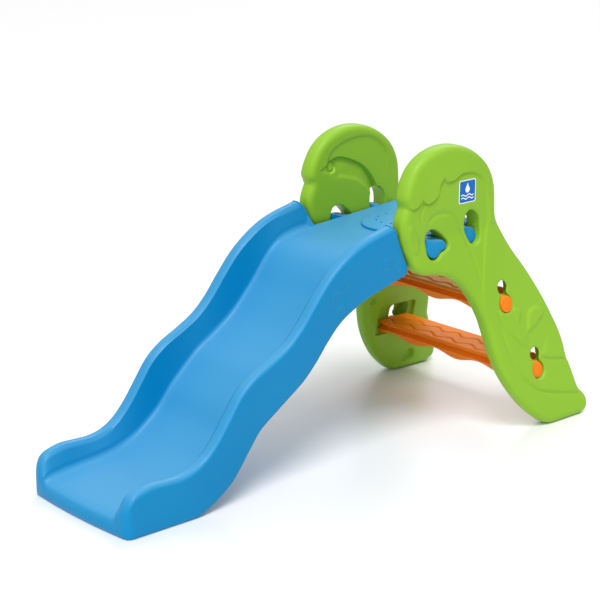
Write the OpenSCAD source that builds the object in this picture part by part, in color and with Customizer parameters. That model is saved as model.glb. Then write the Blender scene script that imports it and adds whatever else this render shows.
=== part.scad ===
// Wave slide for toddlers: a blow-moulded chute with two humps hangs between two
// wave-shaped side panels, two steps tie the panels together at the rear, and a
// sprinkler disc in the platform, fed by a garden hose from below, wets the chute.
//
// Stations are measured along the slide from the chute's foot (0) towards the steps.
// Row frame: +X towards the steps, -Y the sitting child's left, +Z up, and the origin
// is on the floor under the middle of the whole slide.

/* [Chute] */
// Width over the two side rails of the chute
chute_width = 393; // [385:1:400]
// Width of each side rail
rail_width = 33; // [28:1:38]
// Width of the platform between the two side panels
platform_width = 306; // [290:1:308]
// Height of the platform at its front edge
platform_front_z = 546; // [542:1:550]
// Fall of the platform towards the chute, so that water runs down, in degrees
platform_fall = 4.3; // [3:0.1:5]
// Wall thickness of every blow-moulded piece
wall = 3; // [2.5:0.1:4]

/* [Side panels] */
// Thickness of a side panel
panel_thickness = 50; // [44:1:54]
// Distance between the inner faces of the two panels at the platform
head_gap = 310; // [310:1:316]
// Height at which the upright head of a panel turns into the leaning leg
bend_z = 560; // [550:5:570]
// Outward lean of the legs below the bend, in degrees
leg_lean = 12.7; // [9:0.1:14]
// Gap between a peg and the window of the panel that it locks into
peg_gap = 1.5; // [1:0.1:2]

/* [Steps] */
// Height of the lower tread above the floor
lower_step_z = 188; // [180:1:192]
// Height from the lower tread to the upper tread
step_rise = 196; // [190:1:200]
// Distance that the upper tread lies nearer to the chute
step_run = 92; // [88:1:94]
// Depth of a tread from front to back
step_depth = 120; // [112:1:124]
// Height of a step from its tread to the lowest point of its skirt
step_height = 44; // [40:1:46]
// Depth of the pockets in the panels that hold the ends of the steps
pocket_depth = 12; // [8:1:14]
// Radius of the round pegs at the ends of the steps
step_peg_r = 22.5; // [20:0.5:22.5]

/* [Sprinkler and hose inlet] */
// Radius of the sprinkler disc on the platform
disc_r = 90; // [80:1:95]
// Height of the sprinkler disc's crown above the platform
disc_h = 12; // [9:1:14]
// Number of water jets in the disc
jet_count = 10; // [6:1:14]
// Radius of the sprinkler's stem through the platform
stem_r = 12; // [11.5:0.5:13]
// Thread radius inside the hose nut, for a 3/4 inch garden hose fitting
hose_thread_r = 12.2; // [12:0.1:13.2]
// Running gap between the hose nut and the neck that it turns on
swivel_gap = 0.08; // [0.04:0.01:0.1]

/* [Hidden] */
$fn = 64;
eps = 0.01;

// A point of the smooth curve through b and c, with a and d as their neighbours
function spline_point(a, b, c, d, t) =
    0.5 * (2 * b + (c - a) * t + (2 * a - 5 * b + 4 * c - d) * t * t
           + (3 * b - a - 3 * c + d) * t * t * t);

// A smooth curve through all the given points, open at its ends
function smooth_open(p, n = 5) =
    concat([for (i = [0 : len(p) - 2]) for (k = [0 : n - 1])
                spline_point(p[max(i - 1, 0)], p[i], p[i + 1], p[min(i + 2, len(p) - 1)], k / n)],
           [p[len(p) - 1]]);

// A smooth loop through all the given points
function smooth_loop(p, n = 5) =
    [for (i = [0 : len(p) - 1]) for (k = [0 : n - 1])
        spline_point(p[(i + len(p) - 1) % len(p)], p[i], p[(i + 1) % len(p)],
                     p[(i + 2) % len(p)], k / n)];

// The same anticlockwise outline with every point moved inwards by d
function inward(p, d) =
    [for (i = [0 : len(p) - 1])
        let (along = p[(i + 1) % len(p)] - p[(i + len(p) - 1) % len(p)])
        p[i] + d * [-along[1], along[0]] / norm(along)];

function up_to(p, station) = [for (q = p) if (q[0] <= station) q];

// --- Chute lines, as station and height --------------------------------------------

foot_flat_end = 195;
rail_end_station = 855;
platform_start = 870;
platform_end = 1203;
platform_underside_drop = 62;

function platform_z(station) =
    platform_front_z + (station - platform_start) * tan(platform_fall);

belly_line = [[foot_flat_end, 0], [240, 13], [280, 34], [317, 61], [345, 93], [372, 129],
              [408, 173], [455, 206], [498, 234], [550, 269], [590, 307], [624, 347],
              [659, 383], [695, 409], [756, 437], [827, 458]];
rail_end_line = [[884, 470], [897, 478], [899, 493], [889, 516], [876, 544], [865, 574],
                 [858, 597], [850, 611], [838, 618]];
crest_line = [[800, 608], [760, 595], [700, 566], [640, 522], [589, 466], [547, 415],
              [503, 375], [450, 345], [395, 318], [350, 283], [313, 234], [277, 186],
              [240, 149], [200, 127], [160, 119], [115, 120], [75, 121], [38, 113],
              [12, 93], [1, 64], [0, 36], [0, 14], [8, 0]];
platform_belly_line = [[895, 478], [940, 486],
                       for (station = [985, 1015, 1075, 1172])
                           [station, platform_z(station) - platform_underside_drop],
                       [1192, platform_z(1192) - 54], [platform_end, platform_z(1200) - 34],
                       [platform_end, platform_z(1200) - 14], [1194, platform_z(1194) - 3]];
platform_line = [for (station = [1180 : -60 : 880]) [station, platform_z(station)]];
bed_line = [[830, 543], [783, 534], [747, 515], [711, 477], [669, 424], [605, 359],
            [543, 316], [488, 283], [447, 248], [399, 203], [359, 156], [315, 120],
            [273, 94], [220, 75], [168, 66], [118, 62], [67, 57], [26, 51], [8, 42],
            [0, 27], [0, 12], [8, 0]];

rail_profile = smooth_open(concat(belly_line, rail_end_line, crest_line));
bed_profile = smooth_open(concat(belly_line, platform_belly_line, platform_line, bed_line));

// --- Side panel outline, as station and height --------------------------------------

foot_front_station = 1348;
foot_rear_station = 1464;
back_edge_line = [[foot_rear_station, 0], [1490, 9], [1500, 30], [1493, 52], [1475, 69],
                  [1464, 90], [1455, 124], [1444, 158], [1435, 176], [1429, 226],
                  [1405, 286], [1370, 355], [1325, 427], [1277, 493], [1243, 552]];
crown_line = [[1225, 590], [1222, 630], [1218, 672], [1206, 706], [1184, 738], [1147, 768],
              [1100, 790], [1048, 800], [1000, 797], [955, 782], [920, 756], [898, 722],
              [887, 692], [886, 674], [893, 658]];
front_edge_line = [[887, 643], [876, 621], [870, 598], [873, 570], [882, 543], [894, 518],
                   [912, 496], [940, 483], [985, 474], [1030, 458], [1066, 434],
                   [1094, 404], [1114, 374], [1130, 342], [1142, 310], [1152, 264],
                   [1164, 212], [1184, 160], [1215, 108], [1255, 59], [1302, 19],
                   [1324, 6], [foot_front_station, 0]];
panel_outline = smooth_open(concat(back_edge_line, crown_line, front_edge_line));
panel_top = max([for (p = panel_outline) p[1]]);
panel_rear = max([for (p = panel_outline) p[0]]);
chute_foot = min([for (p = rail_profile) p[0]]);
mid_station = (panel_rear + chute_foot) / 2;

// Windows that the chute's pegs drop into, in front and at the rear
front_window = smooth_loop([[961, 541], [963, 520], [982, 510], [999, 513], [1015, 523],
                            [1033, 531], [1038, 547], [1029, 562], [1014, 580], [994, 588],
                            [974, 585], [963, 566]]);
rear_window = smooth_loop([[1104, 568], [1112, 545], [1122, 529], [1137, 522], [1152, 528],
                           [1160, 545], [1161, 572], [1155, 598], [1138, 614], [1121, 617],
                           [1107, 604], [1102, 587]]);
front_peg_top = 566;
rear_peg_top = 576;
peg_recess = 5;

function panel_inner_y(z) = head_gap / 2 + tan(leg_lean) * max(0, bend_z - z);

// --- Steps --------------------------------------------------------------------------

lower_step_station = 1231;
step_profile = [[16, -step_height], [104, -step_height], [114, -36], [119, -22],
                [step_depth, -8], [117, -2], [112, 0], [7, 0], [2, -2], [0, -6], [3, -10],
                [7, -13], [7, -18], [2, -23], [2, -30], [8, -40]];
skirt_pitch = 164;
skirt_wave = 5;
pocket_front_gap = [11, 3];
pocket_rear_gap = 11;
pocket_top_gap = 42;
pocket_bottom_gap = 3;
peg_station = 83;
peg_drop = 33;
grip_hole_station = 77;
grip_hole_rise = 12;
grip_hole_r = 18;
keyhole_neck = 22;

// --- Sprinkler ----------------------------------------------------------------------

disc_station = 1045;
disc_wall = 3;
gasket_t = 2.5;
locknut_af = 36;
locknut_h = 10;
neck_r = 9.5;
collar_r = 11.8;
water_r = 6;
hose_nut_r = 18;
hose_nut_h = 24;
hose_thread_h = 14;
thread_play = 0.1;
washer_t = 2.5;
face_gap = 0.3;
underside_w = -platform_underside_drop * cos(platform_fall);
neck_w = underside_w - locknut_h - 4;
nut_top_w = neck_w - 2;
nut_web = 3;
collar_w = nut_top_w - nut_web - face_gap;
collar_t = 3;
washer_w = collar_w - collar_t - face_gap;

// Colours
water_blue = [0.0, 0.55, 0.78];
leaf_green = [0.56, 0.77, 0.24];
warm_orange = [0.97, 0.5, 0.16];

module place() {
    translate([-mid_station, 0, 0]) children();
}

// An outline of stations and heights, drawn out sideways from y0 to y1
module plate(outline, y0, y1) {
    translate([0, y1, 0]) rotate([90, 0, 0]) linear_extrude(y1 - y0) polygon(outline);
}

module both_sides() {
    children();
    mirror([0, 1, 0]) children();
}

// The layer of a right-hand panel from depth a to depth b, counted from its inner face
module panel_layer(a, b) {
    top = panel_top + 20;
    floor_y = head_gap / 2 + tan(leg_lean) * (bend_z + 20);
    head_y = head_gap / 2;
    translate([800, 0, 0]) rotate([90, 0, 90]) linear_extrude(750)
        polygon([[head_y + a, top], [head_y + a, bend_z], [floor_y + a, -20],
                 [floor_y + b, -20], [head_y + b, bend_z], [head_y + b, top]]);
}

// A window's outline, moved outwards by grow, through the whole panel
module window_cut(outline, grow = 0) {
    plate(inward(outline, -grow), 120, 380);
}

// Step positions: 0 is the lower step and 1 the upper one
function step_station(i) = lower_step_station - i * step_run;
function step_z(i) = lower_step_z + i * step_rise;

// The keyhole of a step: a grip hole above, a round seat for the peg below
module keyhole_cut(i, grow = 0) {
    grip = [step_station(i) + grip_hole_station, step_z(i) + grip_hole_rise];
    seat = [step_station(i) + peg_station, step_z(i) - peg_drop];
    between = seat - grip;
    translate([0, 380, 0]) rotate([90, 0, 0]) {
        translate(grip) cylinder(r = grip_hole_r + grow, h = 260);
        translate(seat) cylinder(r = step_peg_r + peg_gap + grow, h = 260);
        translate(grip) rotate(atan2(between[1], between[0]))
            translate([0, -keyhole_neck / 2 - grow, 0])
                cube([norm(between), keyhole_neck + 2 * grow, 260]);
    }
}

// The pocket in a panel's inner face that takes the end of a step
module pocket_cut(i, grow = 0) {
    x0 = step_station(i) - pocket_front_gap[i] - grow;
    x1 = step_station(i) + step_depth + pocket_rear_gap + grow;
    z0 = step_z(i) - step_height - pocket_bottom_gap - grow;
    z1 = step_z(i) + pocket_top_gap + grow;
    intersection() {
        translate([x0, 100, z0]) cube([x1 - x0, 300, z1 - z0]);
        panel_layer(-20, pocket_depth + grow);
    }
}

module panel_shell() {
    difference() {
        intersection() {
            plate(panel_outline, 100, 400);
            panel_layer(0, panel_thickness);
        }
        difference() {
            intersection() {
                plate(inward(panel_outline, wall), 100, 400);
                panel_layer(wall, panel_thickness - wall);
            }
            window_cut(front_window, wall);
            window_cut(rear_window, wall);
            for (i = [0, 1]) keyhole_cut(i, wall);
            for (i = [0, 1]) pocket_cut(i, wall);
        }
        window_cut(front_window);
        window_cut(rear_window);
        for (i = [0, 1]) keyhole_cut(i);
        for (i = [0, 1]) pocket_cut(i);
    }
}

module right_side_panel() {
    color(leaf_green) place() panel_shell();
}

module left_side_panel() {
    color(leaf_green) place() mirror([0, 1, 0]) panel_shell();
}

// A peg of the chute: the lower part of its window, left short of the outer face
module chute_peg(outline, top_z) {
    peg_y0 = platform_width / 2 - 2 * wall;
    intersection() {
        plate(inward(outline, peg_gap), peg_y0, head_gap / 2 + panel_thickness - peg_recess);
        translate([900, 0, 400]) cube([300, 300, top_z - 400]);
    }
}

// The chute's body, shrunk by d on every side: rails, sliding bed and platform
module chute_body(d = 0) {
    rail_out = chute_width / 2 - d;
    rail_in = chute_width / 2 - rail_width + d;
    bed_y = chute_width / 2 - rail_width + (d > 0 ? d + eps : 1);
    both_sides() plate(inward(rail_profile, d), rail_in, rail_out);
    plate(up_to(inward(bed_profile, d), rail_end_station - d), -bed_y, bed_y);
    plate(inward(bed_profile, d), -platform_width / 2 + d, platform_width / 2 - d);
}

// The sprinkler's axis stands square on the sloping platform
module on_platform() {
    translate([disc_station, 0, platform_z(disc_station)]) rotate([0, -platform_fall, 0])
        children();
}

module slide_chute() {
    color(water_blue) place() difference() {
        union() {
            chute_body();
            both_sides() chute_peg(front_window, front_peg_top);
            both_sides() chute_peg(rear_window, rear_peg_top);
        }
        difference() {
            chute_body(wall);
            on_platform() translate([0, 0, -100]) cylinder(r = stem_r + 0.5 + wall, h = 150);
        }
        on_platform() translate([0, 0, -100]) cylinder(r = stem_r + 0.5, h = 150);
    }
}

// The region between the two panels where a step lies, shrunk by d at its ends and
// along the wavy lower edge of its skirt
module step_region(i, d) {
    top_y = panel_inner_y(step_z(i) + 20) + pocket_depth - 2 - d;
    low_y = panel_inner_y(step_z(i) - step_height) + pocket_depth - 3 - d;
    skirt = [for (y = [-low_y : low_y / 20 : low_y + eps])
                [y, step_z(i) - step_height + skirt_wave * (1 + cos(360 * (y - 35) / skirt_pitch))
                    - skirt_wave / 2 + d]];
    translate([1000, 0, 0]) rotate([90, 0, 90]) linear_extrude(450)
        polygon(concat(skirt, [[top_y, step_z(i) + 20], [-top_y, step_z(i) + 20]]));
}

module step_body(i, d = 0) {
    intersection() {
        translate([step_station(i), 0, step_z(i)]) plate(inward(step_profile, d), -320, 320);
        step_region(i, d);
    }
}

module step_peg(i) {
    peg_z = step_z(i) - peg_drop;
    intersection() {
        translate([step_station(i) + peg_station, 380, peg_z]) rotate([90, 0, 0])
            cylinder(r = step_peg_r, h = 380 - panel_inner_y(peg_z) + 1);
        panel_layer(-20, panel_thickness - 1);
    }
}

module step(i) {
    color(warm_orange) place() {
        difference() {
            step_body(i);
            step_body(i, wall);
        }
        both_sides() difference() {
            step_peg(i);
            step_body(i);
        }
    }
}

module upper_step() {
    step(1);
}

module lower_step() {
    step(0);
}

// Heights below are measured along the sprinkler's axis from the platform's surface
module sprinkler_disc() {
    color(water_blue) place() on_platform() {
        difference() {
            union() {
                rotate_extrude() polygon([[0, gasket_t], [30, gasket_t], [34, face_gap],
                                          [disc_r, face_gap], [disc_r, 4], [disc_r - 3, 7],
                                          [60, 10], [30, disc_h - 0.5], [0, disc_h]]);
                translate([0, 0, neck_w]) cylinder(r = stem_r, h = gasket_t - neck_w);
                translate([0, 0, collar_w - eps]) cylinder(r = neck_r, h = neck_w - collar_w + 1);
                translate([0, 0, collar_w - collar_t]) cylinder(r = collar_r, h = collar_t);
            }
            translate([0, 0, collar_w - collar_t - 1])
                cylinder(r = water_r, h = gasket_t + disc_wall - collar_w + collar_t + 2);
            rotate_extrude() polygon([[0, gasket_t + disc_wall], [40, gasket_t + disc_wall - 1],
                                      [disc_r - 6, face_gap + disc_wall], [60, 7.5],
                                      [30, disc_h - disc_wall - 0.5], [0, disc_h - disc_wall]]);
            for (k = [0 : jet_count - 1]) rotate(360 * k / jet_count)
                translate([48, 0, 6]) cylinder(r = 1.2, h = 12);
        }
    }
}

module sprinkler_gasket() {
    color([0.15, 0.15, 0.16]) place() on_platform() difference() {
        cylinder(r = 26, h = gasket_t);
        translate([0, 0, -1]) cylinder(r = stem_r + thread_play, h = gasket_t + 2);
    }
}

module sprinkler_locknut() {
    color([0.2, 0.21, 0.22]) place() on_platform()
        translate([0, 0, underside_w - locknut_h]) difference() {
            cylinder(r = locknut_af / sqrt(3), h = locknut_h, $fn = 6);
            translate([0, 0, -1]) cylinder(r = stem_r + thread_play, h = locknut_h + 2);
        }
}

module hose_swivel_nut() {
    color([0.95, 0.55, 0.12]) place() on_platform()
        translate([0, 0, nut_top_w - hose_nut_h]) difference() {
            union() {
                cylinder(r = hose_nut_r - 1.5, h = hose_nut_h);
                for (k = [0 : 11]) rotate(30 * k) translate([hose_nut_r - 2, 0, 0])
                    cylinder(r = 2, h = hose_nut_h - 3, $fn = 24);
            }
            translate([0, 0, -1]) cylinder(r = hose_thread_r, h = hose_thread_h + 1 + eps);
            translate([0, 0, hose_thread_h])
                cylinder(r = hose_thread_r + 0.6, h = hose_nut_h - nut_web - hose_thread_h);
            cylinder(r = neck_r + swivel_gap, h = hose_nut_h + 1);
        }
}

module hose_washer() {
    color([0.12, 0.12, 0.12]) place() on_platform() translate([0, 0, washer_w - washer_t])
        difference() {
            cylinder(r = collar_r, h = washer_t);
            translate([0, 0, -1]) cylinder(r = water_r + 0.5, h = washer_t + 2);
        }
}

label_size = 62;
label_station = 1108;
label_z = 670;
label_t = 0.6;

module label_plate() {
    translate([label_station - label_size / 2, head_gap / 2 + panel_thickness, label_z - label_size / 2])
        cube([label_size, label_t, label_size]);
}

module right_label() {
    color([0.1, 0.38, 0.72]) place() label_plate();
}

module left_label() {
    color([0.1, 0.38, 0.72]) place() mirror([0, 1, 0]) label_plate();
}

slide_chute();
left_side_panel();
right_side_panel();
upper_step();
lower_step();
sprinkler_disc();
sprinkler_gasket();
sprinkler_locknut();
hose_swivel_nut();
hose_washer();
left_label();
right_label();
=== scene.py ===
# %% [markdown]
# # A toddler's wave slide, piece by piece
#
# The slide is blow-moulded plastic: hollow, soft-edged parts that clip together. A blue
# chute hangs between two green wave-shaped side panels, two orange steps tie the panels
# together behind, and a sprinkler disc on the platform is fed by a garden hose from below.
#
# The frame of the real part is loaded first. Everything that is made here has to fit it.

# %% Load the frame
import math
import bpy
import numpy as np
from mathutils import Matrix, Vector


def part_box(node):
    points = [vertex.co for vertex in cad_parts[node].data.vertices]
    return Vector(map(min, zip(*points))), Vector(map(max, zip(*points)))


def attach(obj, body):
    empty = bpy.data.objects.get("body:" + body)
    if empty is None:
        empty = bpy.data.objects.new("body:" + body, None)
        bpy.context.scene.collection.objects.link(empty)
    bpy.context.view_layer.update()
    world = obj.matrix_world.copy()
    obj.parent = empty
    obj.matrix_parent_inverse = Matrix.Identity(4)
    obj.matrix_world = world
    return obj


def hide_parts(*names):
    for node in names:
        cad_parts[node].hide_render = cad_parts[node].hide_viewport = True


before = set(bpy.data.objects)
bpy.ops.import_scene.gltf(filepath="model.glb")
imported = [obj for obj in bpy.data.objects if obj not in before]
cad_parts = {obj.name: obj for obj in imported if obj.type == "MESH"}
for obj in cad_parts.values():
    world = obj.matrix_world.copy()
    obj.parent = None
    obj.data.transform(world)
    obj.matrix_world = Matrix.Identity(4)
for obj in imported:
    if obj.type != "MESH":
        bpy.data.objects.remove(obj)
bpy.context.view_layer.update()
MM = 0.001

# %% [markdown]
# ## Reading sizes off the frame
#
# Lengths along the slide are counted in millimetres from the tip of the chute's foot, as
# the mould maker counts them, and heights from the floor. One small function turns such a
# station into the frame's own X, so that every list below stays readable.

# %% Stations and the panel's lean
foot_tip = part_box("slide_chute")[0][0] / MM
panel_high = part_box("right_side_panel")[1]
label_low, label_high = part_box("right_label")
PANEL_THICK = 50
HEAD_INNER = label_low[1] / MM - PANEL_THICK
BEND_Z = 560
LEAN = (panel_high[1] / MM - label_low[1] / MM) / BEND_Z


def row_x(station):
    """The frame's X, in metres, of a station in mm."""
    return (station + foot_tip) * MM


print("foot tip", round(foot_tip, 1), "head inner face", round(HEAD_INNER, 1), "lean", round(LEAN, 4))

# %% [markdown]
# ## Small helpers
#
# An operator works on whatever is selected, so each step starts by clearing the selection
# and then picks its own parts in code. `smooth_line` runs a smooth curve through a few
# listed points. `pull_to` moves a primitive's points to their new places, which is
# what a person does with the grab tool.

# %% Helpers for selection and curves
def start_clean():
    """Leaves edit mode and deselects everything."""
    if bpy.context.object and bpy.context.object.mode != "OBJECT":
        bpy.ops.object.mode_set(mode="OBJECT")
    bpy.ops.object.select_all(action="DESELECT")


def only(piece):
    """Selects one piece and makes it the active one."""
    start_clean()
    piece.select_set(True)
    bpy.context.view_layer.objects.active = piece


def edit_all():
    """Opens the active piece in edit mode, with all of it selected."""
    bpy.ops.object.mode_set(mode="EDIT")
    bpy.ops.mesh.select_all(action="SELECT")


def unselect_all(kind):
    """Clears the selection inside the active piece, ready to pick edges or faces in code."""
    bpy.ops.object.mode_set(mode="EDIT")
    bpy.ops.mesh.select_mode(type=kind)
    bpy.ops.mesh.select_all(action="DESELECT")
    bpy.ops.object.mode_set(mode="OBJECT")


def face_outwards():
    """Turns every face outwards and closes edit mode."""
    bpy.ops.mesh.select_all(action="SELECT")
    bpy.ops.mesh.normals_make_consistent(inside=False)
    bpy.ops.object.mode_set(mode="OBJECT")


def smooth_line(points, per=6, closed=False):
    """A curve through all the points, with this many places for each gap between two."""
    p = np.array(points, float)
    n = len(p)
    out = []
    for i in range(n if closed else n - 1):
        if closed:
            a, b, c, d = p[i - 1], p[i], p[(i + 1) % n], p[(i + 2) % n]
        else:
            a, b, c, d = p[max(i - 1, 0)], p[i], p[i + 1], p[min(i + 2, n - 1)]
        for t in np.arange(per) / per:
            out.append(0.5 * (2 * b + (c - a) * t + (2 * a - 5 * b + 4 * c - d) * t ** 2
                              + (3 * b - a - 3 * c + d) * t ** 3))
    if not closed:
        out.append(p[-1])
    return np.array(out)


def smoothstep(t):
    """Rises smoothly from 0 to 1 while t goes from 0 to 1."""
    t = np.clip(t, 0, 1)
    return t * t * (3 - 2 * t)


def points_of(piece):
    co = np.empty(len(piece.data.vertices) * 3)
    piece.data.vertices.foreach_get("co", co)
    return co.reshape(-1, 3)


def pull_to(piece, co):
    piece.data.vertices.foreach_set("co", np.asarray(co, float).ravel())
    piece.data.update()


def select_faces(piece, mask):
    """Opens a piece in edit mode with only the faces that mask marks selected."""
    only(piece)
    unselect_all("FACE")
    piece.data.polygons.foreach_set("select", np.asarray(mask, bool))
    bpy.ops.object.mode_set(mode="EDIT")


def face_centres(piece):
    centre = np.empty(len(piece.data.polygons) * 3)
    piece.data.polygons.foreach_get("center", centre)
    return centre.reshape(-1, 3)


def finish_modifier(piece, modifier):
    only(piece)
    bpy.ops.object.modifier_apply(modifier=modifier.name)


# %% Helpers for solids
def drawn_out(name, outline, y0, y1):
    """A closed outline of stations and heights, drawn out sideways from y0 to y1 in mm."""
    start_clean()
    bpy.ops.mesh.primitive_circle_add(vertices=len(outline), radius=0.1)
    piece = bpy.context.object
    piece.name = name
    pull_to(piece, [(row_x(x), y0 * MM, z * MM) for x, z in outline])
    edit_all()
    bpy.ops.mesh.edge_face_add()
    bpy.ops.mesh.extrude_region_move(TRANSFORM_OT_translate={"value": (0, (y1 - y0) * MM, 0)})
    face_outwards()
    return piece


def round_rims(piece, y_values, radius, segments=5):
    """Bevels the rims whose two ends lie at one of the given depths."""
    only(piece)
    depths = points_of(piece)[:, 1] / MM
    unselect_all("EDGE")
    for edge in piece.data.edges:
        ends = depths[list(edge.vertices)]
        edge.select = any(np.all(np.abs(ends - y) < 0.01) for y in y_values)
    bpy.ops.object.mode_set(mode="EDIT")
    bpy.ops.mesh.bevel(offset=radius * MM, segments=segments, affect="EDGES", clamp_overlap=False)
    bpy.ops.object.mode_set(mode="OBJECT")


def combine(piece, other, operation):
    """Cuts other out of piece, or adds it, and removes other."""
    cut = piece.modifiers.new("cut", "BOOLEAN")
    cut.operation = operation
    cut.solver = "EXACT"
    cut.object = other
    finish_modifier(piece, cut)
    bpy.data.objects.remove(other, do_unlink=True)


def even_skin(piece, voxel, smoothing):
    """Gives a solid one even skin and lets its edges soften, as a blown mould does."""
    skin = piece.modifiers.new("skin", "REMESH")
    skin.mode = "VOXEL"
    skin.voxel_size = voxel * MM
    finish_modifier(piece, skin)
    soften = piece.modifiers.new("soften", "SMOOTH")
    soften.factor = 0.5
    soften.iterations = smoothing
    finish_modifier(piece, soften)


def shade(piece, angle):
    """Smooth shading, except over edges sharper than the angle in degrees."""
    only(piece)
    bpy.ops.object.shade_smooth_by_angle(angle=math.radians(angle))


def nearest_on(points, line):
    """Each point's distance to a line, its side (-1 or 1), and how far along it is (0 to 1).
    At a corner two stretches are equally near, and the one that is faced more squarely wins."""
    best = np.full(len(points), 1e9)
    firm = np.zeros(len(points))
    side = np.zeros(len(points))
    along = np.zeros(len(points))
    for i in range(len(line) - 1):
        step = line[i + 1] - line[i]
        t = np.clip((points - line[i]) @ step / (step @ step), 0, 1)
        off = points - line[i] - t[:, None] * step
        dist = np.hypot(off[:, 0], off[:, 1])
        cross = (step[0] * off[:, 1] - step[1] * off[:, 0]) / (np.hypot(*step) * dist + 1e-9)
        nearer = (dist < best - 1e-9) | ((dist < best + 1e-9) & (np.abs(cross) > firm))
        best[nearer] = dist[nearer]
        firm[nearer] = np.abs(cross)[nearer]
        side[nearer] = np.sign(cross)[nearer]
        along[nearer] = (i + t[nearer]) / (len(line) - 1)
    return best, side, along


# %% [markdown]
# ## The studio
#
# A product like this is shown on a white sweep: light comes from everywhere, with one broad
# lamp above and two weaker fills. A sun lamp with a wide angle gives the same soft light all
# over the floor.

# %% Floor and light
def make_floor():
    start_clean()
    bpy.ops.mesh.primitive_plane_add(size=80, location=(0, 0, 0))
    floor = bpy.context.object
    floor.name = "studio_floor"
    paper = bpy.data.materials.new("studio_paper")
    paper.use_nodes = True
    shader = paper.node_tree.nodes["Principled BSDF"]
    shader.inputs["Base Color"].default_value = (0.97, 0.97, 0.975, 1)
    shader.inputs["Roughness"].default_value = 0.26
    shader.inputs["Specular IOR Level"].default_value = 0.5
    floor.data.materials.append(paper)


def make_sun(name, strength, angle, turn, lean):
    """A sun of this angular size, tipped by lean and turned round the vertical, in degrees."""
    start_clean()
    bpy.ops.object.light_add(type="SUN", location=(0, 0, 3),
                             rotation=(math.radians(lean), 0, math.radians(turn)))
    sun = bpy.context.object
    sun.name = name
    sun.data.energy = strength
    sun.data.angle = math.radians(angle)


make_floor()
make_sun("broad_lamp", strength=1.9, angle=26, turn=-38, lean=27)
make_sun("rear_fill", strength=0.95, angle=40, turn=120, lean=48)
make_sun("front_fill", strength=0.9, angle=40, turn=-58, lean=58)
world = bpy.data.worlds.new("studio")
bpy.context.scene.world = world
world.use_nodes = True
sky = world.node_tree.nodes["Background"]
sky.inputs["Color"].default_value = (1, 1, 1, 1)
sky.inputs["Strength"].default_value = 0.42
bpy.context.scene.view_settings.view_transform = "Standard"
print("studio ready")

# %% [markdown]
# ## The camera
#
# A long lens well back from the slide keeps its lines nearly parallel. The camera stands
# beyond the chute's foot, on the sitting child's left, at the eye height of an adult.

# %% Camera
HEADING = math.radians(41.38)
LOOK_DOWN = math.radians(16.77)
DISTANCE = 4.775
AIM_STATION = 708.6
AIM_HEIGHT = 0.3919
aim = Vector((row_x(AIM_STATION), 0, AIM_HEIGHT))
look = Vector((math.sin(HEADING) * math.cos(LOOK_DOWN), math.cos(HEADING) * math.cos(LOOK_DOWN),
               -math.sin(LOOK_DOWN)))
start_clean()
bpy.ops.object.camera_add(location=aim - look * DISTANCE,
                          rotation=look.to_track_quat("-Z", "Y").to_euler())
camera = bpy.context.object
camera.data.sensor_width = 36
camera.data.lens = 110.53
camera.data.shift_y = 0.0093
camera.data.clip_end = 200
bpy.context.scene.camera = camera
print("camera at", tuple(round(c, 3) for c in camera.location))
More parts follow.
